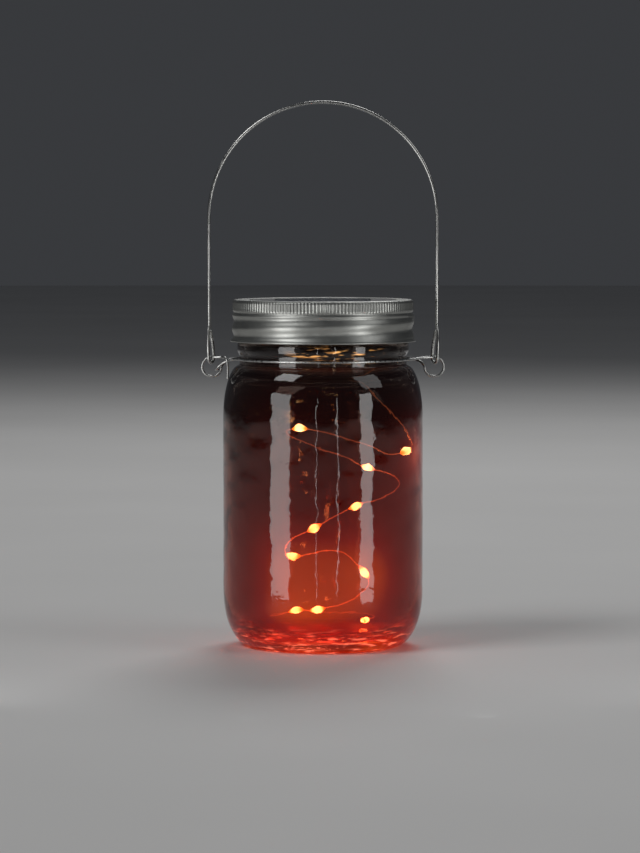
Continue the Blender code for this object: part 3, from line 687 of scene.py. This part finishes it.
def jar_thread_start():
    """The angle at which the jar's ridge starts, so that it runs half a pitch above the band's groove."""
    rise = JAR_THREAD_START_Z - THREAD_PITCH / 2 - BAND_THREAD_START_Z
    return BAND_THREAD_START + math.tau * rise / THREAD_PITCH


# %% Lacquered glass
def lacquered_glass():
    """Clear glass under a sprayed tint: smoke at the neck, red from the middle down. The tint is a ramp on
    height, made uneven by slow noise. Lamps shine through it, so the lights inside reach the floor. The
    painted glow kept on the mesh stands in for the scattered light, and the painted glints come out where
    their noise peaks."""
    finish = Finish("jar glass", 0.02)
    nodes, links = finish.nodes, finish.links
    place = nodes.new("ShaderNodeTexCoord")
    split = nodes.new("ShaderNodeSeparateXYZ")
    links.new(place.outputs["Object"], split.inputs["Vector"])
    uneven = finish.between(finish.mask(BLOTCHES, 40.0), -0.004, 0.004)
    height = nodes.new("ShaderNodeMath")
    height.operation = "ADD"
    links.new(split.outputs["Z"], height.inputs[0])
    links.new(uneven, height.inputs[1])
    level = nodes.new("ShaderNodeMapRange")
    level.inputs["From Max"].default_value = float(JAR_HEIGHT)
    links.new(height.outputs["Value"], level.inputs["Value"])
    stops = [
        (0.0, (0.50, 0.070, 0.035)),
        (0.25, (0.36, 0.065, 0.032)),
        (0.45, (0.28, 0.065, 0.036)),
        (0.64, (0.22, 0.095, 0.070)),
        (0.80, (0.17, 0.135, 0.115)),
        (1.0, (0.27, 0.245, 0.220)),
    ]
    tint = finish.ramp(level.outputs["Result"], stops)
    links.new(tint, finish.shader.inputs["Base Color"])
    # Painted glow: the colour of lamplight that the glass gives off near the lamps.
    glow_stops = [
        (0.0, (0.0, 0.0, 0.0)),
        (0.3, (0.6, 0.012, 0.002)),
        (0.6, (2.2, 0.30, 0.03)),
        (1.0, (6.0, 1.8, 0.2)),
    ]
    scattered = finish.ramp(finish.attribute("glow"), glow_stops)
    spots = nodes.new("ShaderNodeMath")
    spots.operation = "MULTIPLY"
    links.new(finish.attribute("glint"), spots.inputs[0])
    links.new(finish.mask(GLINTS, 130.0), spots.inputs[1])
    emission = nodes.new("ShaderNodeMix")
    emission.data_type = "RGBA"
    links.new(spots.outputs["Value"], emission.inputs["Factor"])
    links.new(scattered, emission.inputs["A"])
    # Painted glints: amber light at the neck, red light at the foot.
    glint_stops = [(0.0, (9.0, 1.6, 0.9)), (0.3, (9.0, 2.0, 0.8)), (1.0, (9.0, 4.8, 1.4))]
    links.new(finish.ramp(level.outputs["Result"], glint_stops), emission.inputs["B"])
    finish.shine(emission.outputs["Result"], 0.10)
    finish.bump(finish.mask(BLOTCHES, 90.0), 0.00008)
    finish.clear(tint)
    return finish.material


# %% The jar
JAR_RIDGE_HEIGHT = 0.0015
JAR_RIDGE_HALF_WIDTH = 0.0016
JAR_RIDGE_SWEEP = math.radians(450.0)
DIMPLES = 60
DIMPLE_DEPTH = 0.00012
GLASS_LAMP_REACH = 0.011
# How much painted glow the whole foot gets, and how much more the low front gets.
PAINTED_FOOT_GLOW = 0.15
PAINTED_FRONT_GLOW = 3.2


def jar_grid():
    """The outline turned round Z. To its radius are added the thread ridge on the finish, slow waves that
    fade out at the rim and the foot, and a ring of small dimples round the foot."""
    outline = jar_outline()
    radius, height = outline[:, :1], outline[:, 1:]
    angle = (np.arange(JAR_COLUMNS) * math.tau / JAR_COLUMNS)[None, :]
    outer = np.cumsum(outline[:, 1] >= JAR_HEIGHT - 0.0001)[:, None] > 0
    ridge = thread_profile(
        angle, height, jar_thread_start(), JAR_THREAD_START_Z, JAR_RIDGE_SWEEP, JAR_RIDGE_HALF_WIDTH
    )
    on_finish = outer & (radius > FINISH_RADIUS - RIM_BEVEL)
    body = smoothstep(0.004, 0.020, height) * smoothstep(0.112, 0.098, height)
    slow = np.sin(3.0 * angle + 40.0 * height) + np.sin(5.0 * angle - 110.0 * height + 1.3)
    quick = np.sin(11.0 * angle + 420.0 * height) + np.sin(7.0 * angle - 570.0 * height + 0.7)
    wave = np.where(outer, 0.00003 * slow + 0.000022 * quick, 0.00010 * slow + 0.00005 * quick)
    foot = outer & (radius > FOOT_RADIUS - 0.0005)
    dimples = DIMPLE_DEPTH * np.cos(DIMPLES * angle) * smoothstep(0.0035, 0.0012, height) * foot
    radius = radius + JAR_RIDGE_HEIGHT * ridge * on_finish + body * wave + dimples
    return turned_grid(radius, height, angle)


def painted_glass_glow(points):
    """Painted glow in place of the light scattered near the lamps: weaker in the smoke, stronger low on the
    front, and a little of it all round the foot."""
    x, y, z = points.T
    near = lamp_nearness(points, light_places, GLASS_LAMP_REACH, 2.0)
    red_part = smoothstep(0.105, 0.040, z)
    foot_part = smoothstep(0.012, 0.001, z)
    low_part = smoothstep(0.062, 0.035, z) * smoothstep(0.006, 0.018, z)
    front_part = smoothstep(0.6, 1.0, -y / BODY_RADIUS)
    scattered = near * (0.25 + 0.75 * red_part) * (1.0 + PAINTED_FRONT_GLOW * front_part * low_part)
    return np.clip(scattered + PAINTED_FOOT_GLOW * foot_part, 0.0, 1.0)


def painted_glass_glints(points):
    """Where painted glints may come out: on the front, in a band at the neck near the middle, and round the
    foot.
    """
    x, y, z = points.T
    front_part = np.clip(0.35 - y / BODY_RADIUS, 0.0, 1.0)
    neck_part = smoothstep(0.1150, 0.1165, z) * smoothstep(0.1225, 0.1205, z)
    middle_part = smoothstep(0.022, 0.010, np.abs(x - 0.004))
    base_part = smoothstep(0.0120, 0.0030, z)
    return np.clip(front_part * (neck_part * middle_part + base_part), 0.0, 1.0)


jar = mesh_piece("jar_glass", [jar_grid()], lacquered_glass())
jar_points = mesh_points(jar)
painted_jar_glow = painted_glass_glow(jar_points)
store_on_points(jar, "glow", painted_jar_glow)
store_on_points(jar, "glint", painted_glass_glints(jar_points))
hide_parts("glass_jar")
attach(jar, "jar")
print("brightest glow on the glass:", round(float(painted_jar_glow.max()), 2))

# %% [markdown]
# ## Screw band
# The band is one thin sheet, pressed and rolled: a flat lip, a knurled rim to grip, a rolled thread and a
# curled lower edge that hides the cut. The knurl is too fine for a modifier, so the outline is turned with
# six columns for each tooth, and the teeth and the thread are added to the radius by formula.

# %% The band's outline
band_low, band_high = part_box("screw_band")
BAND_TOP = band_high[2]
BAND_BOTTOM = band_low[2]
HEM_RADIUS = band_high[0]
WALL_RADIUS = HEM_RADIUS - 0.00065
KNURL_RADIUS = 0.0366
OPENING_RADIUS = 0.0293
SHEET = 0.0004
TEETH = 160
COLUMNS_PER_TOOTH = 6
TOOTH_DEPTH = 0.00028
GROOVE_DEPTH = 0.0008
GROOVE_SWEEP = math.radians(590.0)
GROOVE_LEAD_IN = math.radians(60.0)
KNURL_LOW, KNURL_HIGH = 0.1356, 0.1394
HEM_CURL = 0.00045


def band_outline():
    """Down the outside from the opening's edge, round the curled hem, and up the inside a sheet's thickness
    in."""
    outside = np.array([
        (OPENING_RADIUS, BAND_TOP - 0.0002),
        (OPENING_RADIUS + 0.0004, BAND_TOP),
        (KNURL_RADIUS - 0.0008, BAND_TOP),
        (KNURL_RADIUS - 0.0001, BAND_TOP - 0.0007),
        (KNURL_RADIUS - 0.0001, KNURL_LOW - 0.0001),
        (KNURL_RADIUS - 0.0007, 0.1349),
        (WALL_RADIUS - 0.0001, 0.1340),
        (WALL_RADIUS, 0.1333),
        (WALL_RADIUS, BAND_BOTTOM + 0.0012),
    ])
    inside = outside[:1:-1] + (-SHEET, -SHEET * 0.3)
    inside[-2:, 0] = (KNURL_RADIUS - 0.0008 - SHEET, OPENING_RADIUS + 0.0001)
    inside[-2:, 1] = BAND_TOP - SHEET
    hem = arc((HEM_RADIUS - HEM_CURL, BAND_BOTTOM + HEM_CURL), (HEM_CURL, HEM_CURL), 100.0, -100.0, 14)
    outline = rounded_outline(np.concatenate([outside, hem, inside]), 0.00022, closed=True)
    return chosen_rows(outline, 84, np.ones(len(outline)))[:-1]


def band_grid():
    """The outline turned round Z. The thread's groove is taken from both faces of the sheet, and the teeth
    are a cosine wave on the outside of the rim."""
    outline = band_outline()
    radius, height = outline[:, :1], outline[:, 1:]
    columns = TEETH * COLUMNS_PER_TOOTH
    angle = (np.arange(columns) * math.tau / columns)[None, :]
    start_angle = BAND_THREAD_START - GROOVE_LEAD_IN
    start_z = BAND_THREAD_START_Z - THREAD_PITCH * GROOVE_LEAD_IN / math.tau
    groove = thread_profile(angle, height, start_angle, start_z, GROOVE_SWEEP, THREAD_PITCH / 2)
    skirt = smoothstep(0.1238, 0.1250, height) * smoothstep(0.1342, 0.1330, height) * (radius > 0.0350)
    rim = smoothstep(KNURL_LOW - 0.0003, KNURL_LOW + 0.0004, height)
    rim *= smoothstep(KNURL_HIGH + 0.0003, KNURL_HIGH - 0.0004, height) * (radius > KNURL_RADIUS - 0.0003)
    teeth = 0.5 * (1.0 + np.cos(TEETH * angle))
    radius = radius - GROOVE_DEPTH * groove * skirt - TOOTH_DEPTH * teeth * rim
    return turned_grid(radius, height, angle)


# %% Tinplate and the band
def tinplate():
    """Rolled tinplate: grey, slightly cloudy, and uneven in its gloss."""
    finish = Finish("band tinplate", 0.38, 1.0)
    finish.colour(finish.mask(BLOTCHES, 60.0), [(0.0, (0.30, 0.305, 0.29)), (1.0, (0.36, 0.365, 0.345))])
    finish.roughness(finish.mask(GRAIN, 500.0), 0.34, 0.42)
    return finish.material


band = mesh_piece("band", [band_grid()], tinplate(), closed_along=True)
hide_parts("screw_band")
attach(band, "screw_band")

# %% [markdown]
# ## Neck wire and bail
# Both are bent from drawn steel wire. The neck wire is one length: a hooked end, half a ring, an ear, the
# other half ring, the second ear and a tail. The bail's ends are bent back into long narrow eyes, and each
# free end lies against its leg. Each is a round tube along a smooth path through its bends.

# %% Paths of the wires
NECK_WIRE_RADIUS = 0.0005
NECK_RING_RADIUS = 0.0346
NECK_RING_Z = 0.1160
EAR_X = 0.0450
EAR_RADIUS = 0.0039
EAR_DRIFT = 0.0006
HINGE_Z = next(j["pos_m"][2] for j in frame["joints"] if j["name"] == "bail_swing")
EAR_Z = HINGE_Z - EAR_RADIUS


def ring_part(start_deg, end_deg, count):
    """Part of the ring round the neck."""
    angle = np.radians(np.linspace(start_deg, end_deg, count))
    circle = np.column_stack([np.cos(angle), np.sin(angle)]) * NECK_RING_RADIUS
    return np.column_stack([circle, np.full(count, NECK_RING_Z)])


def ear_part(side, count=14):
    """Three quarters of a loop, from its top on the hinge line, over its outer side and a little back."""
    angle = np.radians(np.linspace(90.0, -180.0, count))
    x = side * (EAR_X + EAR_RADIUS * np.cos(angle))
    return np.column_stack([x, np.linspace(0.0, EAR_DRIFT, count), EAR_Z + EAR_RADIUS * np.sin(angle)])


def neck_wire_path():
    """All the stretches of the neck wire, joined by one smooth curve."""
    hook = [(-0.0424, 0.0016, 0.1118), (-0.0432, 0.0002, 0.1116), (-0.0428, -0.0014, 0.1124)]
    hook += [(-0.0412, -0.0022, 0.1138), (-0.0390, -0.0030, 0.1152), (-0.0362, -0.0048, 0.1159)]
    to_right = [(0.0362, -0.0048, NECK_RING_Z), (0.0400, -0.0018, HINGE_Z - 0.0002)]
    from_right = [(0.0398, 0.0016, 0.1146), (0.0368, 0.0042, NECK_RING_Z - 0.0002)]
    to_left = [(-x, y, z) for x, y, z in reversed(from_right)]
    tail = [(-0.0408, -0.0014, 0.1167), (-0.0395, -0.0034, 0.1166), (-0.0387, -0.0050, 0.1152)]
    tail += [(-0.0384, -0.0058, 0.1130), (-0.0384, -0.0062, 0.1085)]
    stretches = [hook, ring_part(-168.0, -12.0, 14), to_right, ear_part(1.0), from_right]
    stretches += [ring_part(12.0, 168.0, 14), to_left, ear_part(-1.0)[::-1], tail]
    return smooth_path(np.concatenate([np.asarray(s, float) for s in stretches]), 8)


BAIL_WIRE_RADIUS = 0.00065
BAIL_HALF_WIDTH = 0.0460
BAIL_ARCH_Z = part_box("bail_handle")[1][2] - BAIL_WIRE_RADIUS - BAIL_HALF_WIDTH
EYE_X = 0.0452
EYE_RADIUS = 0.0022
EYE_TURN = math.radians(28.0)
EYE_HEIGHT = 0.0103
EYE_TOP_HALF_GAP = 0.0008
LEG_FOOT_HEIGHT = 0.0126
ARCH_POINTS = 25


def bail_end():
    """The right end, from the wire's free end, down and round the narrow drop-shaped eye, up to the leg. The
    eye is drawn flat, as (across, height above the hinge), then turned a little about the upright."""
    side = np.array([(EYE_TOP_HALF_GAP, EYE_HEIGHT), (0.8 * EYE_RADIUS, 0.6 * EYE_HEIGHT)])
    bottom = arc((0.0, 0.0), (EYE_RADIUS, EYE_RADIUS), 0.0, -180.0, 9)
    across, height = np.concatenate([side, bottom, side[::-1] * (-1.0, 1.0)]).T
    lean = (BAIL_HALF_WIDTH - EYE_X) * np.maximum(height, 0.0) / LEG_FOOT_HEIGHT
    x = EYE_X + lean - across * math.sin(EYE_TURN)
    eye = np.column_stack([x, across * math.cos(EYE_TURN), HINGE_Z + height])
    foot_z = HINGE_Z + LEG_FOOT_HEIGHT
    leg = [(BAIL_HALF_WIDTH, 0.0, z) for z in (foot_z, foot_z + 0.008)]
    return np.concatenate([eye, leg])


def bail_path():
    """Right end, half-circle arch, left end."""
    right = bail_end()
    left = right[::-1] * (-1.0, 1.0, 1.0)
    angle = np.linspace(0.0, math.pi, ARCH_POINTS)
    arch = np.column_stack([np.cos(angle), np.zeros(ARCH_POINTS), np.sin(angle)]) * BAIL_HALF_WIDTH
    return smooth_path(np.concatenate([right, arch + (0.0, 0.0, BAIL_ARCH_Z), left]), 8)


# %% The wires
neck_grid = tube_grid(neck_wire_path(), NECK_WIRE_RADIUS, 14)
neck_wire = mesh_piece("neck_ring_wire", [neck_grid], plated("neck wire steel", (0.42, 0.42, 0.41), 0.26))
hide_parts("neck_wire")
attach(neck_wire, "jar")
bail_grid = tube_grid(bail_path(), BAIL_WIRE_RADIUS, 16)
bail = mesh_piece("bail_wire", [bail_grid], plated("bail steel", (0.47, 0.47, 0.455), 0.2))
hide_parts("bail_handle")
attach(bail, "bail")

# %% [markdown]
# ## Solar insert
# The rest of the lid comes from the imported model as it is, because its shapes are right: a black moulded can
# with a panel under clear resin, and the cell, board and switch inside it. Each gets its own finish.

# %% Finishes of the insert
STRIP_WIDTH = 0.0062
STRIP_LENGTH = 0.0370
STRIP_GAP = 0.00022


def solar_silicon():
    """Blue-black silicon cut into strips, with pale gaps between them and fine printed fingers of silver."""
    finish = Finish("solar silicon", 0.25)
    nodes, links = finish.nodes, finish.links
    place = nodes.new("ShaderNodeTexCoord")
    cells = nodes.new("ShaderNodeTexBrick")
    cells.offset = 0.0
    cells.inputs["Scale"].default_value = 1.0
    cells.inputs["Brick Width"].default_value = STRIP_WIDTH
    cells.inputs["Row Height"].default_value = STRIP_LENGTH
    cells.inputs["Mortar Size"].default_value = STRIP_GAP
    cells.inputs["Mortar Smooth"].default_value = 0.0
    cells.inputs["Color1"].default_value = (0.010, 0.016, 0.045, 1.0)
    cells.inputs["Color2"].default_value = (0.016, 0.024, 0.060, 1.0)
    cells.inputs["Mortar"].default_value = (0.42, 0.43, 0.44, 1.0)
    shift = nodes.new("ShaderNodeMapping")
    shift.inputs["Location"].default_value = (3 * STRIP_WIDTH, STRIP_LENGTH / 2, 0.0)
    fingers = nodes.new("ShaderNodeTexWave")
    fingers.bands_direction = "Y"
    fingers.inputs["Scale"].default_value = 160.0
    sharp = nodes.new("ShaderNodeMapRange")
    sharp.inputs["From Min"].default_value = 0.93
    sharp.inputs["From Max"].default_value = 0.99
    blend = nodes.new("ShaderNodeMix")
    blend.data_type = "RGBA"
    blend.inputs["B"].default_value = (0.30, 0.31, 0.33, 1.0)
    links.new(place.outputs["Object"], shift.inputs["Vector"])
    links.new(shift.outputs["Vector"], cells.inputs["Vector"])
    links.new(shift.outputs["Vector"], fingers.inputs["Vector"])
    links.new(fingers.outputs["Fac"], sharp.inputs["Value"])
    links.new(sharp.outputs["Result"], blend.inputs["Factor"])
    links.new(cells.outputs["Color"], blend.inputs["A"])
    links.new(blend.outputs["Result"], finish.shader.inputs["Base Color"])
    return finish.material


def panel_resin():
    """Clear resin poured over the cells, with a faint ripple. Lamps shine through to the cells."""
    finish = Finish("panel resin", 0.04)
    finish.colour(finish.mask(BLOTCHES, 60.0), [(0.0, (0.93, 0.94, 0.96)), (1.0, (0.99, 0.99, 1.0))])
    finish.bump(finish.mask(BLOTCHES, 260.0), 0.00002)
    finish.clear()
    return finish.material


FINISHES = {
    "gasket": moulded("gasket rubber", (0.045, 0.045, 0.045), 0.75),
    "insert_housing": moulded("insert plastic", (0.028, 0.028, 0.030), 0.42, 2600.0, 0.00004),
    "insert_cover": moulded("cover plastic", (0.036, 0.036, 0.038), 0.42, 2600.0, 0.00004),
    "wire_grommet": moulded("grommet rubber", (0.055, 0.055, 0.055), 0.75),
    "panel_board": moulded("panel board", (0.02, 0.05, 0.03), 0.55),
    "solar_cells": solar_silicon(),
    "panel_cover": panel_resin(),
    "battery": moulded("battery sleeve", (0.08, 0.33, 0.14), 0.30, 1200.0, 0.00001),
    "battery_tray": moulded("tray plastic", (0.05, 0.05, 0.052), 0.5),
    "circuit_board": moulded("circuit laminate", (0.015, 0.15, 0.06), 0.45, 1800.0, 0.00003),
    "driver_chip": moulded("chip epoxy", (0.018, 0.018, 0.018), 0.45, 6000.0),
    "inductor": moulded("inductor lacquer", (0.30, 0.34, 0.16), 0.4),
    "switch_knob": moulded("knob plastic", (0.82, 0.82, 0.79), 0.4),
    "switch_body": plated("switch shell", (0.60, 0.60, 0.58), 0.3),
}
screw_finish = plated("screw zinc", (0.55, 0.55, 0.54), 0.3)
contact_finish = plated("contact nickel", (0.60, 0.58, 0.52), 0.25)
FINISHES.update({f"cover_screw_{k}": screw_finish for k in (1, 2, 3)})
FINISHES.update({f"contact_{side}": contact_finish for side in ("positive", "negative")})
for node, surface in FINISHES.items():
    frame["nodes"][node].material_slots[0].material = surface
print("finished nodes:", len(FINISHES))

# %% [markdown]
# ## Studio
# A pale floor, one large soft light from the upper left, a weaker one from the right and one from behind.
# Four upright strips in front of the jar light no matt surface and show as reflections: two wide ones draw
# the long streaks on the glass, and two fine ones the thin bright lines between. The Standard view keeps the
# reds of the glass as strong as they are.

# %% Floor
def pale_floor():
    """Matt painted board: nearly even, very slightly mottled."""
    finish = Finish("pale floor", 0.7)
    finish.colour(finish.mask(BLOTCHES, 3.0), [(0.0, (0.70, 0.695, 0.685)), (1.0, (0.74, 0.735, 0.725))])
    return finish.material


def disc_grid(radius, columns=64):
    """A flat disc, as rings from its middle to its edge, wound so that it faces up."""
    angle = (np.arange(columns) * math.tau / columns)[None, :]
    reach = radius * np.linspace(0.0, 1.0, 5)[:, None] + 0.0 * angle
    return turned_grid(reach, np.zeros_like(reach), angle)


FLOOR_RADIUS = 6.0
floor = mesh_piece("floor", [disc_grid(FLOOR_RADIUS)], pale_floor())


# %% Lights
def area_light(name, azimuth_deg, distance, height, size, power, aim_z=0.09):
    """A rectangular light facing the jar. The azimuth is measured from the front, to the right."""
    lamp = bpy.data.lights.new(name, "AREA")
    lamp.shape = "RECTANGLE"
    lamp.size, lamp.size_y = size
    lamp.energy = power
    holder = bpy.data.objects.new(name, lamp)
    turn = math.radians(azimuth_deg)
    holder.location = (distance * math.sin(turn), -distance * math.cos(turn), height)
    aim = Vector((0.0, 0.0, aim_z)) - holder.location
    holder.rotation_euler = aim.to_track_quat("-Z", "Y").to_euler()
    holder.visible_camera = False
    bpy.context.scene.collection.objects.link(holder)
    return holder


area_light("key", -55.0, 1.5, 1.7, (0.9, 0.9), 12.0)
area_light("fill", 65.0, 1.7, 1.3, (1.0, 1.0), 4.5)
area_light("back", 170.0, 1.3, 1.4, (0.8, 0.8), 9.0)
STRIP_TOP = 0.16
STRIP_DISTANCE = 0.22
STRIPS = (
    ("left", -46.1, 0.084, 0.15),
    ("right", 47.1, 0.055, 0.10),
    ("narrow left", -7.0, 0.003, 0.005),
    ("narrow right", 15.3, 0.004, 0.007),
)
STRIP_MIDDLE = STRIP_TOP / 2
for side, azimuth, width, power in STRIPS:
    size = (width, STRIP_TOP)
    strip = area_light(f"{side} strip", azimuth, STRIP_DISTANCE, STRIP_MIDDLE, size, power, STRIP_MIDDLE)
    strip.visible_diffuse = False

bpy.context.scene.view_settings.view_transform = "Standard"
world = bpy.context.scene.world or bpy.data.worlds.new("studio")
bpy.context.scene.world = world
world.use_nodes = True
backdrop = world.node_tree.nodes["Background"]
backdrop.inputs["Color"].default_value = (0.80, 0.84, 0.92, 1.0)
backdrop.inputs["Strength"].default_value = 0.05
